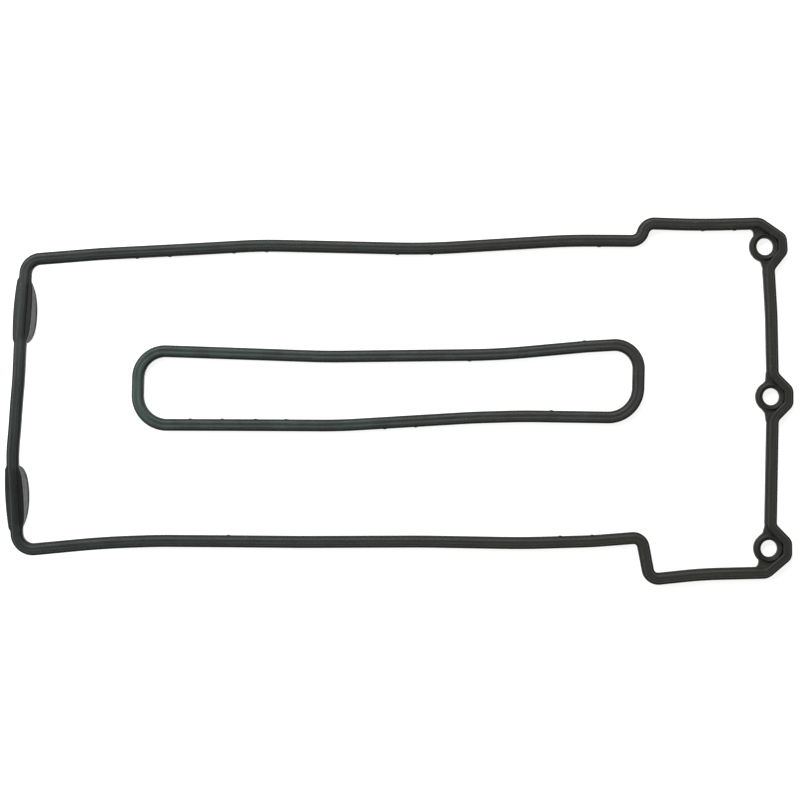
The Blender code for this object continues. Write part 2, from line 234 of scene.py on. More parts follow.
# Plugs: how far up in the flange they end, and the share by which their flanks draw in below
# the pad, more so at the ends, and more still at the ends inboard
PLUG_TOP = 0.6
BELOW_PAD = 0.05
BELOW_PAD_AT_END = 0.12
INBOARD_AT_END = 0.25

# Rings and plugs: rounding of their edges
SOFT_EDGE = 0.0004

# Table, and the lamps: the side of each square and where it hangs
TABLE_SIZE = 12.0
TABLE_DROP = 0.0001
KEY_SIZE = 1.2
KEY_PLACE = (-0.35, 1.30, 0.95)
SIDE_SIZE = 1.0
SIDE_PLACE = (-1.30, 0.20, 1.00)

# Camera: how a picture this wide sees
PICTURE_WIDTH = 800
FOCAL_PIXELS = 2282.86
SENSOR_WIDTH_MM = 36.0
FARTHEST_SEEN = 100.0


def linear(code):
    """Linear colour of an sRGB hex value."""
    channels = [int(code[index : index + 2], 16) / 255 for index in (1, 3, 5)]
    return (*[c / 12.92 if c <= 0.04045 else ((c + 0.055) / 1.055) ** 2.4 for c in channels], 1.0)


def length(name, description, default):
    return FloatProperty(name=name, description=description, default=default, unit="LENGTH")


def angle(name, description, degrees):
    return FloatProperty(
        name=name, description=description, default=math.radians(degrees), subtype="ANGLE"
    )


def share(name, description, default):
    return FloatProperty(name=name, description=description, default=default, subtype="FACTOR")


def level(name, description, default):
    return FloatProperty(name=name, description=description, default=default, min=0.0)


def power(name, description, default):
    return FloatProperty(name=name, description=description, default=default, unit="POWER")


def tint(name, description, code):
    return FloatVectorProperty(
        name=name,
        description=description,
        size=4,
        default=linear(code),
        min=0.0,
        max=1.0,
        subtype="COLOR",
    )


class StripSizes(bpy.types.PropertyGroup):
    """Section of the moulded strip, the same on both loops."""

    width: length("Width", "Width of the flange", 0.0084)
    flange_height: length("Flange height", "Thickness of the flange", 0.0050)
    edge_radius: length("Edge radius", "Rounding of the flange's upper edges", 0.0006)
    bead_rise: length("Bead rise", "Height of the bead's crests over the flange", 0.0030)
    bead_width: length("Bead width", "Width of the bead at its foot", 0.0054)
    foot_radius: length("Foot radius", "Fillet between bead and flange", 0.0004)
    rib_width: length("Rib width", "Middle rib of the sealing side", 0.0010)
    groove_width: length("Groove width", "Each groove of the sealing side", 0.0015)
    groove_depth: length("Groove depth", "Depth of those grooves", 0.0006)
    nub_height: length("Nub height", "How far the flash of a mould vent stands out", 0.0004)
    nub_reach: length("Nub reach", "Half the length of that flash", 0.0013)


class OuterBeadSizes(bpy.types.PropertyGroup):
    """Crown of the outer loop's bead: two crests close together, nearly one dome."""

    crest_spacing: length("Crest spacing", "Distance between the bead's two crests", 0.0024)
    crest_radius: length("Crest radius", "Rounding of each crest", 0.0014)
    valley_depth: length("Valley depth", "Depth of the hollow between the crests", 0.00014)
    foot_dip: length("Foot dip", "How far the flange sinks towards the bead", 0.0)


class InnerBeadSizes(bpy.types.PropertyGroup):
    """Crown of the inner loop's bead: two crests further apart."""

    crest_spacing: length("Crest spacing", "Distance between the bead's two crests", 0.0030)
    crest_radius: length("Crest radius", "Rounding of each crest", 0.0011)
    valley_depth: length("Valley depth", "Depth of the hollow between the crests", 0.0003)
    foot_dip: length("Foot dip", "How far the flange sinks towards the bead", 0.00025)


class EyeSizes(bpy.types.PropertyGroup):
    """Bolt eyes at one end of the outer loop."""

    hole_diameter: length("Hole", "Diameter of a bolt hole", 0.0118)
    ring_wall: length("Ring wall", "Width of the ring round a hole", 0.0049)
    ring_rise: length("Ring rise", "Height of the ring's crest over the land", 0.0014)
    ring_crest: length("Ring crest", "Width of that crest", 0.0032)
    land_drop: length("Land drop", "How far the land lies below the flange's top", 0.00005)
    land_edge: length("Land edge", "Rounding of the land's edges", 0.0005)
    corner_radius: length("Corner radius", "Outer corners of the land", 0.0045)
    merge_start: length("Merge start", "Distance from a hole where the flange gives way", 0.0155)
    merge_end: length("Merge end", "Distance from a hole where it is narrowest", 0.0125)


class PlugSizes(bpy.types.PropertyGroup):
    """Half-moon plugs under the other end of the outer loop."""

    length: length("Length", "Length along the strip", 0.0446)
    depth: length("Depth", "How far a plug hangs below the strip", 0.0190)
    thickness: length("Thickness", "Thickness in the middle", 0.0126)
    end_thickness: length("End thickness", "Thickness at the ends", 0.0104)
    inset: length("Inset", "How far the flanks lie inside the pad's edge", 0.00005)
    shoulder: length("Shoulder", "Length over which the pad starts outboard", 0.0030)
    inboard_shoulder: length("Inboard shoulder", "Length over which it starts inboard", 0.0080)
    lip_height: length("Lip height", "How far the rim's lips stand out", 0.0005)
    lip_width: length("Lip width", "Width of the lip on each flank", 0.0024)
    groove_width: length("Groove width", "Groove round the rim", 0.0040)
    groove_depth: length("Groove depth", "Depth of that groove", 0.0009)
    spacing: length("Spacing", "Distance between the two plugs", 0.1285)
    middle_y: length("Middle", "Where the middle between them lies", -0.0022)
    lean: angle("Lean", "How far each plug leans as it stands on its rim", 12)
    bow: length("Bow", "How far the strip bows inboard between the plugs", 0.0007)
    drop_start_x: length("Drop start", "Where the strip starts to come down", -0.2509)
    drop_length: length("Drop length", "How far along it reaches the table", 0.1500)


class RubberLook(bpy.types.PropertyGroup):
    """Surface of the moulded rubber, the same on both loops."""

    roughness: share("Roughness", "Roughness of the moulded skin", 0.45)
    streaks: share("Streaks", "Strength of the flow lines along the strip", 0.30)
    grain: share("Grain", "Strength of the mould's grit", 0.20)
    dust: share("Dust", "How thick the dust is that lies on top", 0.40)
    dust_tint: tint("Dust colour", "Colour of the dust", "#8d938f")
    # Painted shade round the bolt holes, where the land lies low between ring and bead
    eye: share("Eye", "How light the skin is round the bolt holes", 0.80)
    # Painted light on the outboard half of the plugs' pads, and painted shade on the inboard half
    pad_painted_light: level("Pad outboard", "How light the plugs' pads are outboard", 1.20)
    pad_painted_shade: share("Pad inboard", "How light the plugs' pads are inboard", 0.35)


class OuterSkin(bpy.types.PropertyGroup):
    """Colours of the outer loop's rubber."""

    green: tint("Green end", "Bloom at the plugs' end", "#343a38")
    neutral: tint("Neutral end", "Bloom at the bolts' end", "#353531")
    rubbed: tint("Rubbed", "Where the bloom is rubbed off", "#2e2f2d")
    # Painted shade: how light the flange's edges stay, where the bead shades the flange
    rim: share("Rim", "How light the flange's edges are", 0.58)
    plug_end: level("Plug end", "How light the end at the plugs' side is", 1.0)


class InnerSkin(bpy.types.PropertyGroup):
    """Colours of the inner loop's rubber."""

    green: tint("Green end", "Bloom at the plugs' end", "#404e4b")
    neutral: tint("Neutral end", "Bloom at the bolts' end", "#3c3c3a")
    rubbed: tint("Rubbed", "Where the bloom is rubbed off", "#353734")
    # Painted shade on the flange's edges; at 1 this loop gets none
    rim: share("Rim", "How light the flange's edges are", 1.0)
    plug_end: level("Plug end", "How light the end at the plugs' side is", 1.4)


class StageLook(bpy.types.PropertyGroup):
    """Table, lights and camera."""

    camera_height: length("Camera height", "Height over the table", 1.600)
    camera_place: FloatVectorProperty(
        name="Camera place",
        description="Where over the table the camera hangs",
        size=2,
        default=(-0.0009, 0.0008),
        unit="LENGTH",
    )
    key_power: power("Key light", "Power of the soft light beyond the part", 22.5)
    side_power: power("Side light", "Power of the soft light at the left", 6.0)
    sky: level("Room light", "Strength of the light from all round", 0.15)
    table_glow: share("Table glow", "How bright the table is where no light falls", 0.82)
    table_tint: tint("Table colour", "Colour of the paper on the table", "#ececec")


# Flat geometry of routes and outlines


def arc_at(before, corner, after, radius):
    """Points of the arc that rounds one corner."""
    back = (before - corner).normalized()
    ahead = (after - corner).normalized()
    inside = back.angle(ahead)
    turn = math.pi - inside
    if turn < SMALLEST_TURN:
        return [corner]
    reach = min((before - corner).length, (after - corner).length) * TANGENT_SHARE
    tangent = min(radius * math.tan(turn / 2), reach)
    radius = tangent / math.tan(turn / 2)
    start = corner + back * tangent
    centre = corner + (back + ahead).normalized() * (radius / math.sin(inside / 2))
    side = math.copysign(1.0, back.cross(ahead))
    step = 2 * math.acos(1 - min(BEND_TOLERANCE / radius, COARSEST_BEND))
    count = max(1, math.ceil(turn / step))
    spoke = start - centre
    return [
        centre + Matrix.Rotation(-side * turn * index / count, 2) @ spoke
        for index in range(count + 1)
    ]


def rounded(corners):
    """Closed polygon with each corner (x, y, radius) rounded."""
    points = []
    for index, (x, y, radius) in enumerate(corners):
        before = Vector(corners[index - 1][:2])
        after = Vector(corners[(index + 1) % len(corners)][:2])
        points += arc_at(before, Vector((x, y)), after, radius)
    return points


def outset(before, corner, after, distance):
    """Corner of the line that runs beside the route, this far to the left of travel."""
    ahead_in = (corner - before).normalized()
    ahead_out = (after - corner).normalized()
    left_in = Vector((-ahead_in.y, ahead_in.x))
    left_out = Vector((-ahead_out.y, ahead_out.x))
    mitre = (left_in + left_out).normalized()
    return corner + mitre * (distance / mitre.dot(left_in))


def at_hole(eye, corners):
    """Corners of an eye, moved to where its hole is."""
    hole_x, hole_y = eye["hole"]
    return [(hole_x + x, hole_y + y, radius) for x, y, radius in corners]


def outer_corners():
    """Corners of the outer loop, round the outside of the eyes."""
    return [
        *UPPER_RUN,
        *at_hole(EYES["upper"], EYES["upper"]["detour"]),
        *UPPER_END_RUN,
        *at_hole(EYES["middle"], EYES["middle"]["detour"]),
        *at_hole(EYES["lower"], EYES["lower"]["detour"]),
        *LOWER_RUN,
        *PLUG_RUN,
    ]


def eased(value):
    """0 up to 0, 1 from 1 on, and a soft rise between."""
    value = min(max(value, 0.0), 1.0)
    return value * value * (3 - 2 * value)


# How the outer loop lies


def plug_radius(plug):
    return (plug.length**2 / 4 + plug.depth**2) / (2 * plug.depth)


def laid_height(plug, x, y):
    """Height of the sealing face over the table at this place of the outer loop."""
    radius = plug_radius(plug)
    seat = radius - (radius - plug.depth) * math.cos(plug.lean)
    slope = math.tan(plug.lean)
    from_middle = abs(y - plug.middle_y)
    arch = plug.spacing / 2 - plug.length / 2
    if from_middle > arch:
        height = seat - slope * (from_middle - plug.spacing / 2)
    else:
        foot = seat + slope * plug.length / 2
        height = foot + slope * arch / 2 * (1 - (from_middle / arch) ** 2)
    along = min(max((x - plug.drop_start_x) / plug.drop_length, 0.0), 1.0)
    return max(height, 0.0) * (1 - along) ** 3 * (1 + along)


def plug_centres(plug):
    return [plug.middle_y + side * plug.spacing / 2 for side in (-1, 1)]


def plug_place(plug, y):
    """Frame of a plug under the middle of the strip at this y of the plug run."""
    corners = [*PLUG_RUN, UPPER_RUN[0]]
    for start, end in zip(corners, corners[1:]):
        if start[1] <= y < end[1]:
            place = (y - start[1]) / (end[1] - start[1])
            x = start[0] + (end[0] - start[0]) * place
            heading = Vector((end[0] - start[0], end[1] - start[1], 0.0)).normalized()
    lean = plug.lean if y < plug.middle_y else -plug.lean
    along = Vector((heading.x, heading.y, math.tan(lean))).normalized()
    across = along.cross(Vector((0.0, 0.0, 1.0))).normalized()
    up = across.cross(along)
    frame_of_plug = Matrix((across, along, up)).transposed().to_4x4()
    frame_of_plug.translation = (x, y, laid_height(plug, x, y))
    return frame_of_plug


def bowed(plug, points):
    """The route with a slight bow inboard where the strip arches between the plugs."""
    arch = plug.spacing / 2 - plug.length / 2
    divided = []
    for index, point in enumerate(points):
        start = points[index - 1]
        long = (point - start).length > arch / 2
        count = BOW_STEPS if long and point.x < plug.drop_start_x else 1
        for step in range(1, count + 1):
            spot = start.lerp(point, step / count)
            from_middle = abs(spot.y - plug.middle_y)
            if spot.x < plug.drop_start_x and from_middle < arch:
                spot.x += plug.bow * eased(BOW_FALL - BOW_FALL * from_middle / arch)
            divided.append(spot)
    return divided


def pad_growth(strip, plug, x, y, shoulder):
    """How much wider the flange is where it is the pad of a plug."""
    if x > plug.drop_start_x:
        return 0.0
    half = plug.length / 2 * math.cos(plug.lean)
    away = min(abs(y - centre) for centre in plug_centres(plug))
    bulge = (plug.thickness - plug.end_thickness) / 2 * (1 - (away / half) ** 2)
    growth = (plug.end_thickness - strip.width) / 2 + max(bulge, 0.0)
    return growth * eased((half + plug.shoulder / 2 - away) / shoulder)


# Section of the strip and its sweep


def arc(centre_x, centre_z, radius, start, end, steps):
    """Points of an arc in the section, angles in degrees from +X."""
    points = []
    for step in range(steps + 1):
        turn = math.radians(start + (end - start) * step / steps)
        points.append((centre_x + radius * math.cos(turn), centre_z + radius * math.sin(turn)))
    return points


def strip_section(strip, bead):
    """Closed section, across and up: the right half from its middle rib up, then the left."""
    edge = strip.width / 2
    rib = strip.rib_width / 2
    top = strip.flange_height
    foot = strip.bead_width / 2 + strip.foot_radius
    crest = bead.crest_spacing / 2
    crest_z = top + strip.bead_rise - bead.crest_radius
    upper = strip.edge_radius
    lower = upper * LOWER_EDGE
    underside = [
        (rib + strip.groove_width * step / 4, strip.groove_depth * depth)
        for step, depth in enumerate(GROOVE_SHAPE)
    ]
    flange = [
        *arc(edge - lower, lower, lower, -90, 0, 3),
        *arc(edge - upper, top - upper, upper, 0, 90, 5),
    ]
    fillet_z = top + strip.foot_radius - bead.foot_dip
    fillet = arc(foot, fillet_z, strip.foot_radius, -90, -172, 4)
    crown = arc(crest, crest_z, bead.crest_radius, 8, 98, 9)
    start_x, start_z = crown[-1]
    middle_z = top + strip.bead_rise - bead.valley_depth
    valley = [
        (start_x * (1 - step / 5), middle_z + (start_z - middle_z) * (1 - eased(step / 5)))
        for step in range(1, 6)
    ]
    half = [*underside, *flange, *fillet, *crown, *valley]
    return [*half, *[(-x, z) for x, z in reversed(half[:-1])]]


def stations(points, fine):
    """Points along the closed route, closer together round each fine place (x, y, reach)."""
    route = []
    for index, point in enumerate(points):
        start = points[index - 1]
        span = point - start
        if span.length < SAME_PLACE:
            continue
        count = max(1, math.ceil(span.length / STATION_STEP))
        places = {step / count for step in range(1, count + 1)}
        for x, y, reach in fine:
            middle = (Vector((x, y)) - start).dot(span) / span.length_squared
            if (start + span * middle - Vector((x, y))).length > 2 * STATION_STEP:
                continue
            for step in range(-FINE_STEPS, FINE_STEPS + 1):
                place = middle + step / FINE_STEPS * reach / span.length
                if 0 < place < 1:
                    places.add(place)
        last = 0.0
        for place in sorted(places):
            if (place - last) * span.length > CLOSEST_STATIONS or place == 1.0:
                route.append(start.lerp(point, place))
                last = place
    return route


def sweep(name, route, section, height_at, shape):
    """Closed mesh of the section along the route, with metres along and across as its UVs."""
    spots = [Vector((spot.x, spot.y, height_at(spot.x, spot.y))) for spot in route]
    count, size = len(spots), len(section)
    vertices, along = [], [0.0]
    for index, spot in enumerate(spots):
        ahead = spots[(index + 1) % count] - spot
        heading = (ahead.normalized() + (spot - spots[index - 1]).normalized()).normalized()
        across = heading.cross(Vector((0.0, 0.0, 1.0))).normalized()
        up = across.cross(heading)
        for x, z in section:
            vertices.append(spot + across * shape(spot, x) + up * z)
        along.append(along[-1] + ahead.length)
    faces, places = [], []
    for i in range(count):
        for j in range(size):
            near, far = i * size, (i + 1) % count * size
            k = (j + 1) % size
            faces.append((near + j, far + j, far + k, near + k))
            here, there = section[j][0], section[k][0]
            places += [along[i], here, along[i + 1], here, along[i + 1], there, along[i], there]
    mesh = bpy.data.meshes.new(name)
    mesh.from_pydata(vertices, [], faces)
    mesh.uv_layers.new(name="strip").data.foreach_set("uv", places)
    return link(name, mesh)


def strip_shape(strip, eyes, plug, nubs):
    """How far out a point of the section lies at each spot of a loop."""
    foot = strip.bead_width / 2 + strip.foot_radius
    flange = strip.width / 2 - foot
    holes = [Vector(eye["hole"]) for eye in EYES.values()]

    def shape(spot, x):
        beyond = abs(x) - foot
        if beyond <= 0:
            return x
        side = math.copysign(1.0, x)
        grown = 1.0
        if plug:
            shoulder = plug.inboard_shoulder if side > 0 else plug.shoulder
            grown += pad_growth(strip, plug, spot.x, spot.y, shoulder) / flange
        if eyes and side > 0:
            away = min((spot.xy - hole).length for hole in holes)
            span = eyes.merge_start - eyes.merge_end
            grown *= max(eased((away - eyes.merge_end) / span), LEAST_FLANGE)
        out = foot + beyond * grown
        for nub_x, nub_y, nub_side in nubs:
            if nub_side == side:
                away = (spot.xy - Vector((nub_x, nub_y))).length
                nearness = eased(NUB_FALL - away / strip.nub_reach)
                out += strip.nub_height * nearness * beyond / flange
        return side * out

    return shape


# Meshes of the eyes and plugs


def link(name, mesh):
    made = bpy.data.objects.new(name, mesh)
    bpy.context.scene.collection.objects.link(made)
    return made


def clean(piece):
    """Merge what coincides and turn all faces outward."""
    work = bmesh.new()
    work.from_mesh(piece.data)
    bmesh.ops.remove_doubles(work, verts=work.verts, dist=MERGE_DISTANCE)
    bmesh.ops.recalc_face_normals(work, faces=work.faces)
    work.to_mesh(piece.data)
    work.free()


def lathe(name, profile, steps):
    """Profile of (radius, height) turned round Z; closed unless both ends lie on the axis."""
    size = len(profile)
    on_axis = profile[0][0] == 0 and profile[-1][0] == 0
    vertices, faces = [], []
    for step in range(steps):
        turn = 2 * math.pi * step / steps
        for radius, height in profile:
            vertices.append((radius * math.cos(turn), radius * math.sin(turn), height))
    for step in range(steps):
        near, far = step * size, (step + 1) % steps * size
        for j in range(size - 1 if on_axis else size):
            k = (j + 1) % size
            faces.append((near + j, far + j, far + k, near + k))
    mesh = bpy.data.meshes.new(name)
    mesh.from_pydata(vertices, [], faces)
    made = link(name, mesh)
    clean(made)
    return made


def plate(name, outline, bottom, top, rounding):
    """Flat outline made solid between two heights, with rounded edges."""
    curve = bpy.data.curves.new(name, "CURVE")
    spline = curve.splines.new("POLY")
    spline.points.add(len(outline) - 1)
    for target, point in zip(spline.points, outline):
        target.co = (point[0], point[1], 0.0, 1.0)
    spline.use_cyclic_u = True
    curve.dimensions = "2D"
    curve.fill_mode = "BOTH"
    curve.extrude = (top - bottom) / 2 - rounding
    curve.bevel_depth = rounding
    curve.bevel_resolution = 2
    curve.offset = -rounding
    shape = bpy.data.objects.new(name, curve)
    bpy.context.scene.collection.objects.link(shape)
    bpy.context.view_layer.update()
    graph = bpy.context.evaluated_depsgraph_get()
    mesh = bpy.data.meshes.new_from_object(shape.evaluated_get(graph))
    mesh.transform(Matrix.Translation((0.0, 0.0, (top + bottom) / 2)))
    bpy.data.objects.remove(shape, do_unlink=True)
    made = link(name, mesh)
    clean(made)
    return made


def combine(target, operation, other):
    """Boolean of two objects, applied; the other one is removed."""
    faces_before = len(target.data.polygons)
    modifier = target.modifiers.new(operation, "BOOLEAN")
    modifier.operation = operation
    modifier.solver = "EXACT"
    modifier.object = other
    bpy.context.view_layer.update()
    graph = bpy.context.evaluated_depsgraph_get()
    mesh = bpy.data.meshes.new_from_object(target.evaluated_get(graph))
    if len(mesh.polygons) < faces_before / 2:
        raise RuntimeError(f"{operation} of {other.name} lost most of {target.name}")
    target.modifiers.clear()
    target.data = mesh
    bpy.data.objects.remove(other, do_unlink=True)


def land_outline(eye, strip, eyes):
    """The land of an eye: under the strip outside, and by its inboard corners inside."""
    route = outer_corners()
    first = route.index(at_hole(eye, eye["detour"])[0])
    outline = []
    for index in range(first, first + len(eye["detour"])):
        before, corner, after = (Vector(route[i][:2]) for i in (index - 1, index, index + 1))
        edge = outset(before, corner, after, strip.width * LAND_OUTSET)
        outline.append((edge.x, edge.y, eyes.corner_radius))
    return rounded([*outline, *at_hole(eye, eye["inboard"])])


def ring_profile(strip, eyes):
    """Closed half section of the ring round a hole: a raised crest on a flat rim."""
    inside = eyes.hole_diameter / 2
    outside = inside + eyes.ring_wall
    middle = (inside + outside) / 2
    base = strip.flange_height - eyes.land_drop * RING_FOOT_DROP
    soft = SOFT_EDGE
    crest = [
        (
            middle + eyes.ring_crest / 2 * step / CREST_STEPS,
            base + eyes.ring_rise * math.cos(math.pi / 2 * step / CREST_STEPS) ** 2,
        )
        for step in range(CREST_STEPS, -CREST_STEPS - 1, -1)
    ]
    return [
        *arc(outside - soft, soft * 1.3, soft, -90, 0, 2),
        *arc(outside - soft, base - soft, soft, 0, 90, 4),
        *crest,
        *arc(inside + soft, base - soft, soft, 90, 180, 4),
        *arc(inside + soft, soft * 1.3, soft, 180, 270, 2),
    ]


def eye_body(name, eye, strip, eyes):
    """Land and ring of one eye, with its hole. The land ends a third of the way into the ring."""
    top = strip.flange_height - eyes.land_drop
    land = plate(name, land_outline(eye, strip, eyes), LAND_BOTTOM, top, eyes.land_edge)
    radius = eyes.hole_diameter / 2 + eyes.ring_wall / 3
    low, high = -DRILL_REACH, DRILL_REACH
    drill = lathe(
        name + "_drill", [(0.0, low), (radius, low), (radius, high), (0.0, high)], RING_STEPS
    )
    ring = lathe(name + "_ring", ring_profile(strip, eyes), RING_STEPS)
    for piece in (drill, ring):
        piece.data.transform(Matrix.Translation((*eye["hole"], 0.0)))
    combine(land, "DIFFERENCE", drill)
    combine(land, "UNION", ring)
    return land


def plug_profile(plug):
    """Half section of a plug's disc, (radius, distance from its middle plane)."""
    radius = plug_radius(plug)
    flank = plug.thickness / 2 - plug.inset
    lip = flank + plug.lip_height
    inner = radius - plug.lip_width
    soft = SOFT_EDGE
    bottom = radius - plug.groove_depth
    floor = plug.groove_width / 2
    mouth = floor + plug.groove_depth
    side = [(radius * step / 8, flank) for step in range(7)]
    side += [
        (inner - soft, flank),
        (inner, flank + plug.lip_height * 0.4),
        (inner + soft, lip),
        *[(r, x) for x, r in arc(lip - soft, radius - soft, soft, 0, 90, 4)],
        (radius, mouth),
        (bottom, floor),
        (bottom, 0.0),
    ]
    return [*side, *[(r, -x) for r, x in reversed(side[:-1])]]


def plug_body(name, strip, plug):
    """Half-moon plug on its own axes: X through it, Y along the strip, Z up."""
    radius = plug_radius(plug)
    flank = plug.thickness / 2 - plug.inset
    body = lathe(name, plug_profile(plug), PLUG_STEPS)
    turned = Matrix.Rotation(math.pi / 2, 4, "Y")
    body.data.transform(Matrix.Translation((0.0, 0.0, radius - plug.depth)) @ turned)
    thin = 1 - plug.end_thickness / plug.thickness
    # The flanks draw in towards the ends and below the pad, and the lips follow them
    for vertex in body.data.vertices:
        x, y, z = vertex.co
        end = min((2 * y / plug.length) ** 2, 1.0)
        hidden = eased((z + plug.lip_width) / plug.lip_width)
        reach = min(abs(x), flank) * hidden + abs(x) * (1 - hidden)
        narrowed = 1 - thin * end - (BELOW_PAD + BELOW_PAD_AT_END * end) * hidden
        if x > 0:
            narrowed -= INBOARD_AT_END * end**2
        vertex.co.x = math.copysign(reach * narrowed, x)
    work = bmesh.new()
    work.from_mesh(body.data)
    cut = bmesh.ops.bisect_plane(
        work,
        geom=[*work.verts, *work.edges, *work.faces],
        plane_co=(0.0, 0.0, strip.flange_height * PLUG_TOP),
        plane_no=(0.0, 0.0, 1.0),
        clear_outer=True,
    )
    rim = [item for item in cut["geom_cut"] if isinstance(item, bmesh.types.BMEdge)]
    bmesh.ops.holes_fill(work, edges=rim)
    bmesh.ops.recalc_face_normals(work, faces=work.faces)
    work.to_mesh(body.data)
    work.free()
    return body


# Colour and material


# Kinds of node that the materials use most, and how they are set
MATH = "ShaderNodeMath"
RANGE = "ShaderNodeMapRange"
MIX = "ShaderNodeMix"
NOISE = "ShaderNodeTexNoise"
SMOOTH = {"interpolation_type": "SMOOTHSTEP"}
RGBA = {"data_type": "RGBA"}

# Scale of each pattern of the rubber, so many to a millimetre, and the size that it gives
MM = 1000.0
WANDER = 0.020  # 50 mm, the border between green and neutral bloom
PATCH = 0.09  # 11 mm, a patch where the bloom is rubbed off
DUSTY_PLACE = 0.05  # 20 mm, a place where specks of dust lie
SPECK = 0.28  # 3.6 mm, from one speck to the next
SMEAR = 0.7  # 1.4 mm, a dusty mark
WORN = 0.35  # 3 mm, a glossier or duller spot
GRIT = 2.4  # 0.4 mm, the mould's grit
FLOW_LINES = (40.0, 2600.0, 1.0)  # to a metre: 25 mm long and 0.4 mm apart

# Height of the relief that grit and flow lines make, in metres
GRIT_DEPTH = 0.00005
FLOW_DEPTH = 0.00008

# Where the bloom changes, and where painted light and shade lie
PART_SPAN = (-260.0, 240.0)  # mm along X, from green to neutral
WANDER_REACH = 90.0  # mm that this wanders to either side
INNER_END = (-187.0, -165.0)  # mm along X, at the inner loop's end
PLUG_SIDE = (-252.0, -248.0)  # mm along X, just inboard of the plugs' pads
# Painted shade round the bolt holes fades out over this span
EYE_SHADE_FADE = (11.0, 18.0)  # mm from the middle of a bolt hole
EYE_LEVEL = 5.0  # mm over the table, where that is measured
PLUG_FADE = (-6.0, 1.0)  # mm past the end of a plug
FAR_OFF = 1000.0  # mm, further than any of these
# Painted shade on the flange's edges, from the first distance to the second
RIM_SHADE_FADE = (0.0024, 0.0042)  # metres to either side of the strip's middle line
# From painted light outboard to painted shade inboard, across a pad
PAD_LIGHT_FADE = (-0.0025, 0.0012)  # metres inboard of it, on a pad


def add_node(tree, kind, inputs=(), output=0, **settings):
    """Add a node with its settings and links, and give one of its outputs.

    The inputs come in their order, or under their names or numbers. One that is a socket is
    linked, and any other is set. The Mix node has its factor at 0, its numbers at 2 and 3, and
    its colours at 6 and 7, with their mix at output 2.
    """
    node = tree.nodes.new(kind)
    for name, value in settings.items():
        setattr(node, name, value)
    keyed = inputs if isinstance(inputs, dict) else dict(enumerate(inputs))
    for key, value in keyed.items():
        socket = node.inputs[key]
        if isinstance(value, bpy.types.NodeSocket):
            tree.links.new(value, socket)
        else:
            socket.default_value = value
    return node.outputs[output]


def bloom_and_painted_light(tree, spot, across, scene, skin):
    """Factor on the colour: the wax bloom, with painted light and shade.

    Painted shade darkens the flange's edges and the skin round the bolt holes. On the pads of the
    plugs, painted light lightens the outboard half and painted shade darkens the inboard half.
    The inner loop has more bloom at its end on the plugs' side.
    """
    look, plug = scene.gasket_rubber, scene.gasket_plugs
    x, y = [add_node(tree, "ShaderNodeSeparateXYZ", (spot,), axis) for axis in "XY"]
    out = add_node(tree, MATH, (across,), operation="ABSOLUTE")
    from_hole = from_plug = FAR_OFF
    for hole_x, hole_y in [eye["hole"] for eye in EYES.values()]:
        hole = (hole_x * MM, hole_y * MM, EYE_LEVEL)
        away = add_node(tree, "ShaderNodeVectorMath", (spot, hole), "Value", operation="DISTANCE")
        from_hole = add_node(tree, MATH, (from_hole, away), operation="MINIMUM")
    for middle in plug_centres(plug):
        away = add_node(tree, MATH, (y, middle * MM), operation="SUBTRACT")
        away = add_node(tree, MATH, (away,), operation="ABSOLUTE")
        from_plug = add_node(tree, MATH, (from_plug, away), operation="MINIMUM")

    # Painted light on the outboard half of each plug's pad, painted shade on its inboard half
    end = plug.length / 2 * MM
    by_plug = (from_plug, end + PLUG_FADE[0], end + PLUG_FADE[1], 1.0, 0.0)
    by_plug = add_node(tree, RANGE, by_plug, **SMOOTH)
    on_run = add_node(tree, RANGE, (x, *PLUG_SIDE, 1.0, 0.0), **SMOOTH)
    on_pad = add_node(tree, MATH, (by_plug, on_run), operation="MULTIPLY")
    pad = (across, *PAD_LIGHT_FADE, look.pad_painted_light, look.pad_painted_shade)
    pad = add_node(tree, RANGE, pad, **SMOOTH)
    pad = add_node(tree, MIX, {0: on_pad, 2: 1.0, 3: pad})

    # Painted shade: darker towards the flange's edges
    left = add_node(tree, RANGE, (out, *RIM_SHADE_FADE, 1.0, skin.rim), **SMOOTH)
    # Painted shade round the bolt holes
    eye = add_node(tree, RANGE, (from_hole, *EYE_SHADE_FADE, look.eye, 1.0), **SMOOTH)
    at_end = add_node(tree, RANGE, (x, *INNER_END, skin.plug_end, 1.0), **SMOOTH)
    for factor in (eye, at_end, pad):
        left = add_node(tree, MATH, (left, factor), operation="MULTIPLY")
    return left


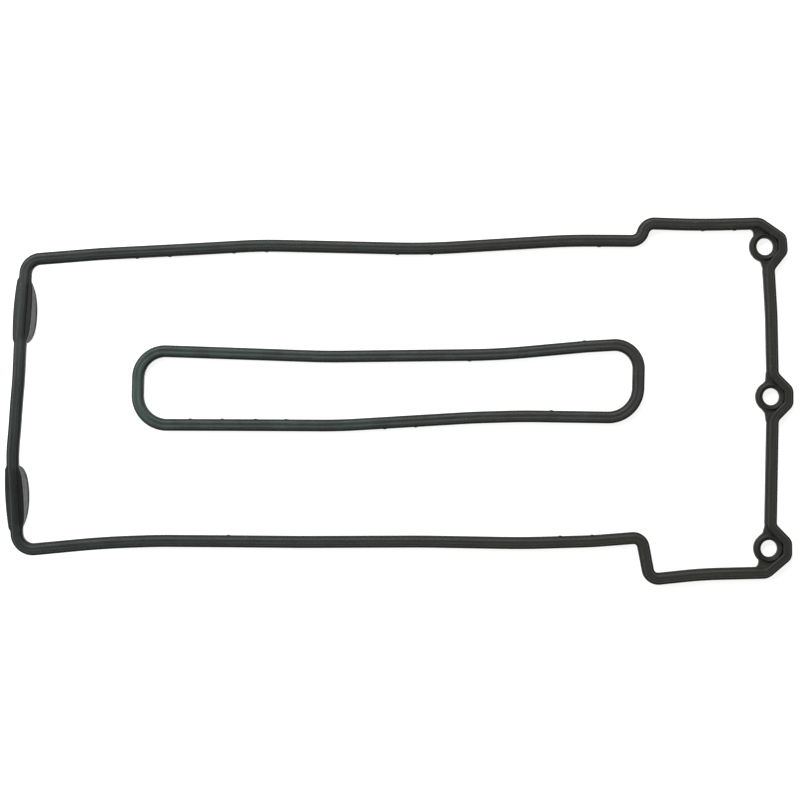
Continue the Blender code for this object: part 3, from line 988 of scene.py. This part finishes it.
def moulded_rubber(name, scene, skin):
    """Compression-moulded acrylic rubber, as cover gaskets are made of.

    Carbon black makes it nearly black, with a green-grey bloom of wax that lies in soft
    patches. The mould leaves a satin skin with a fine grit and faint flow lines along the
    strip. Dry talc and dust stay on it as pale specks.
    """
    look = scene.gasket_rubber
    material = bpy.data.materials.new(name)
    material.use_nodes = True
    tree = material.node_tree
    shader = tree.nodes["Principled BSDF"]
    place = add_node(tree, "ShaderNodeTexCoord", output="Object")
    unrolled = add_node(tree, "ShaderNodeTexCoord", output="UV")
    spot = add_node(tree, "ShaderNodeMapping", {"Vector": place, "Scale": (MM, MM, MM)})
    lines = add_node(tree, "ShaderNodeMapping", {"Vector": unrolled, "Scale": FLOW_LINES})
    across = add_node(tree, "ShaderNodeSeparateXYZ", (unrolled,), "Y")

    # From one end of the part to the other the bloom goes from green to neutral
    x = add_node(tree, "ShaderNodeSeparateXYZ", (spot,), "X")
    wander = add_node(tree, NOISE, {"Vector": spot, "Scale": WANDER})
    wander = add_node(tree, RANGE, (wander, 0.2, 0.8, -WANDER_REACH, WANDER_REACH), **SMOOTH)
    along = add_node(tree, MATH, (x, wander), operation="ADD")
    along = add_node(tree, RANGE, (along, *PART_SPAN, 0.0, 1.0), **SMOOTH)
    colour = add_node(tree, MIX, {0: along, 6: skin.green, 7: skin.neutral}, 2, **RGBA)
    # Patches where the bloom is rubbed off
    patch = add_node(tree, NOISE, {"Vector": spot, "Scale": PATCH, "Detail": 3.0})
    patch = add_node(tree, RANGE, (patch, 0.45, 0.62, 0.0, 1.0), **SMOOTH)
    patch = add_node(tree, MATH, (patch, 0.55), operation="MULTIPLY")
    colour = add_node(tree, MIX, {0: patch, 6: colour, 7: skin.rubbed}, 2, **RGBA)
    # Flow lines along the strip, and the bloom with its painted light and shade
    flow = {"Vector": lines, "Scale": 1.0, "Detail": 3.0, "Roughness": 0.6}
    flow = add_node(tree, NOISE, flow)
    streak = (flow, 0.3, 0.7, 1 - look.streaks, 1 + look.streaks)
    streak = add_node(tree, RANGE, streak, **SMOOTH)
    for factor in (streak, bloom_and_painted_light(tree, spot, across, scene, skin)):
        layers = {0: 1.0, 6: colour, 7: factor}
        colour = add_node(tree, MIX, layers, 2, blend_type="MULTIPLY", **RGBA)
    # Specks of dust, and soft dusty marks
    speck = {"Vector": spot, "Scale": SPECK}
    speck = add_node(tree, "ShaderNodeTexVoronoi", speck, "Distance")
    speck = add_node(tree, RANGE, (speck, 0.05, 0.13, 1.0, 0.0), **SMOOTH)
    dusty = add_node(tree, NOISE, {"Vector": spot, "Scale": DUSTY_PLACE})
    dusty = add_node(tree, RANGE, (dusty, 0.48, 0.60, 0.0, 1.0), **SMOOTH)
    dotted = add_node(tree, MATH, (speck, dusty), operation="MULTIPLY")
    smear = {"Vector": spot, "Scale": SMEAR, "Detail": 3.0, "Roughness": 0.6}
    smear = add_node(tree, NOISE, smear)
    smear = add_node(tree, RANGE, (smear, 0.60, 0.78, 0.0, 0.35), **SMOOTH)
    dust = add_node(tree, MATH, (dotted, smear), operation="MAXIMUM")
    thick = add_node(tree, MATH, (dust, look.dust), operation="MULTIPLY")
    colour = add_node(tree, MIX, {0: thick, 6: colour, 7: look.dust_tint}, 2, **RGBA)
    tree.links.new(colour, shader.inputs["Base Color"])

    # Worn places are a little glossier or duller, and dust is dull
    worn = add_node(tree, NOISE, {"Vector": spot, "Scale": WORN})
    worn = add_node(tree, RANGE, (worn, 0.3, 0.7, -0.05, 0.06), **SMOOTH)
    roughness = add_node(tree, MATH, (worn, look.roughness), operation="ADD")
    dull = add_node(tree, MATH, (dust, 0.3), operation="MULTIPLY")
    roughness = add_node(tree, MATH, (roughness, dull), operation="ADD")
    tree.links.new(roughness, shader.inputs["Roughness"])

    # Relief of the grit, drawn as coarse as it needs to show, and of the flow lines
    grit = add_node(tree, NOISE, {"Vector": spot, "Scale": GRIT})
    grit = {"Height": grit, "Strength": look.grain, "Distance": GRIT_DEPTH}
    grit = add_node(tree, "ShaderNodeBump", grit)
    relief = {"Height": flow, "Strength": look.streaks, "Distance": FLOW_DEPTH, "Normal": grit}
    relief = add_node(tree, "ShaderNodeBump", relief)
    tree.links.new(relief, shader.inputs["Normal"])
    # Rubber's own IOR, and little gloss, as a dusty matt skin scatters most of it
    shader.inputs["IOR"].default_value = 1.5
    shader.inputs["Specular IOR Level"].default_value = 0.2
    return material


# Operators


def finish_piece(piece, node, scene, skin):
    """Smooth the piece, give it its rubber and let it stand for its solid."""
    piece.data.materials.clear()
    piece.data.materials.append(moulded_rubber("moulded_rubber_" + node, scene, skin))
    piece.data.shade_smooth()
    piece.data.set_sharp_from_angle(angle=SHARP_ANGLE)
    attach(piece, BODY)
    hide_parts(node)


class GASKET_OT_outer(bpy.types.Operator):
    """Sweep the outer loop and join its eyes and plugs to it"""

    bl_idname = "gasket.outer"
    bl_label = "Outer gasket"

    def execute(self, context):
        scene = context.scene
        strip, eyes, plug = scene.gasket_strip, scene.gasket_eyes, scene.gasket_plugs
        fine = [(x, y, strip.nub_reach * 2) for x, y, side in OUTER_NUBS]
        for y in plug_centres(plug):
            place = plug_place(plug, y)
            for end in (-1, 1):
                shoulder = place @ Vector((0.0, end * plug.length / 2, 0.0))
                fine.append((shoulder.x, shoulder.y, plug.shoulder))
        gasket = sweep(
            "outer_gasket_moulding",
            stations(bowed(plug, rounded(outer_corners())), fine),
            strip_section(strip, scene.gasket_outer_bead),
            lambda x, y: laid_height(plug, x, y),
            strip_shape(strip, eyes, plug, OUTER_NUBS),
        )
        for name, eye in EYES.items():
            combine(gasket, "UNION", eye_body(name + "_eye", eye, strip, eyes))
        for y in plug_centres(plug):
            body = plug_body("plug", strip, plug)
            body.data.transform(plug_place(plug, y))
            combine(gasket, "UNION", body)
        finish_piece(gasket, "outer_gasket", scene, scene.gasket_outer_skin)
        return {"FINISHED"}


class GASKET_OT_inner(bpy.types.Operator):
    """Sweep the inner loop"""

    bl_idname = "gasket.inner"
    bl_label = "Inner gasket"

    def execute(self, context):
        scene = context.scene
        strip = scene.gasket_strip
        fine = [(x, y, strip.nub_reach * 2) for x, y, side in INNER_NUBS]
        gasket = sweep(
            "inner_gasket_moulding",
            stations(rounded(INNER_ROUTE), fine),
            strip_section(strip, scene.gasket_inner_bead),
            lambda x, y: 0.0,
            strip_shape(strip, None, None, INNER_NUBS),
        )
        finish_piece(gasket, "inner_gasket", scene, scene.gasket_inner_skin)
        return {"FINISHED"}


class GASKET_OT_stage(bpy.types.Operator):
    """Lay the table and set the lights and the camera"""

    bl_idname = "gasket.stage"
    bl_label = "Table, lights and camera"

    def execute(self, context):
        scene = context.scene
        look = scene.gasket_stage
        bpy.ops.mesh.primitive_plane_add(size=TABLE_SIZE, location=(0.0, 0.0, -TABLE_DROP))
        table = context.object
        table.name = "table"
        table.data.materials.append(self.white_table(look))
        self.white_room(scene, look)
        self.soft_light(scene, "key", look.key_power, KEY_SIZE, KEY_PLACE)
        self.soft_light(scene, "side", look.side_power, SIDE_SIZE, SIDE_PLACE)
        data = bpy.data.cameras.new("camera")
        data.sensor_width = SENSOR_WIDTH_MM
        data.lens = FOCAL_PIXELS / PICTURE_WIDTH * SENSOR_WIDTH_MM
        data.clip_end = FARTHEST_SEEN
        camera = bpy.data.objects.new("camera", data)
        camera.location = (*look.camera_place, look.camera_height)
        scene.collection.objects.link(camera)
        scene.camera = camera
        scene.view_settings.view_transform = "Standard"
        return {"FINISHED"}

    def seen_directly(self, tree):
        """1 for what the camera sees, also in a reflection or through glass."""
        seen = 0.0
        for ray in ("Is Glossy Ray", "Is Transmission Ray", "Is Camera Ray"):
            path = add_node(tree, "ShaderNodeLightPath", output=ray)
            seen = add_node(tree, MATH, (seen, path), operation="MAXIMUM")
        return seen

    def white_table(self, look):
        """Matt white paper that glows a little, so that it stays white in the picture."""
        material = bpy.data.materials.new("white_paper_table")
        material.use_nodes = True
        tree = material.node_tree
        shader = tree.nodes["Principled BSDF"]
        seen = self.seen_directly(tree)
        glow = add_node(tree, MATH, (seen, look.table_glow), operation="MULTIPLY")
        tree.links.new(glow, shader.inputs["Emission Strength"])
        shader.inputs["Emission Color"].default_value = (1.0, 1.0, 1.0, 1.0)
        shader.inputs["Base Color"].default_value = look.table_tint
        shader.inputs["Roughness"].default_value = 0.9
        shader.inputs["Specular IOR Level"].default_value = 0.0
        return material

    def white_room(self, scene, look):
        """White beyond the table for the camera, and a dim even light for the rest."""
        world = bpy.data.worlds.new("room")
        scene.world = world
        world.use_nodes = True
        tree = world.node_tree
        background = tree.nodes["Background"]
        seen = self.seen_directly(tree)
        strength = add_node(tree, RANGE, (seen, 0.0, 1.0, look.sky, 1.0), **SMOOTH)
        tree.links.new(strength, background.inputs["Strength"])
        background.inputs["Color"].default_value = (1.0, 1.0, 1.0, 1.0)

    def soft_light(self, scene, name, power, size, place):
        """Square lamp that looks at the middle of the table."""
        data = bpy.data.lights.new(name, "AREA")
        data.energy = power
        data.size = size
        lamp = bpy.data.objects.new(name, data)
        lamp.location = place
        lamp.rotation_euler = (-Vector(place)).to_track_quat("-Z", "Y").to_euler()
        scene.collection.objects.link(lamp)


class GASKET_PT_panel(bpy.types.Panel):
    """Buttons and sizes of the gasket"""

    bl_idname = "GASKET_PT_panel"
    bl_label = "Valve cover gasket"
    bl_space_type = "VIEW_3D"
    bl_region_type = "UI"
    bl_category = "Gasket"

    def draw(self, context):
        for operator in OPERATORS:
            self.layout.operator(operator.bl_idname)
        for holder in SETTINGS:
            box = self.layout.box()
            settings = getattr(context.scene, holder)
            for name in settings.__annotations__:
                box.prop(settings, name)


OPERATORS = (GASKET_OT_outer, GASKET_OT_inner, GASKET_OT_stage)
SETTINGS = {
    "gasket_strip": StripSizes,
    "gasket_outer_bead": OuterBeadSizes,
    "gasket_inner_bead": InnerBeadSizes,
    "gasket_eyes": EyeSizes,
    "gasket_plugs": PlugSizes,
    "gasket_rubber": RubberLook,
    "gasket_outer_skin": OuterSkin,
    "gasket_inner_skin": InnerSkin,
    "gasket_stage": StageLook,
}
CLASSES = (*SETTINGS.values(), *OPERATORS, GASKET_PT_panel)


def register():
    for cls in CLASSES:
        bpy.utils.register_class(cls)
    for holder, cls in SETTINGS.items():
        setattr(bpy.types.Scene, holder, PointerProperty(type=cls))


def unregister():
    for holder in SETTINGS:
        delattr(bpy.types.Scene, holder)
    for cls in reversed(CLASSES):
        bpy.utils.unregister_class(cls)


def main():
    register()
    bpy.ops.gasket.outer()
    bpy.ops.gasket.inner()
    bpy.ops.gasket.stage()


if __name__ == "__main__":
    main()
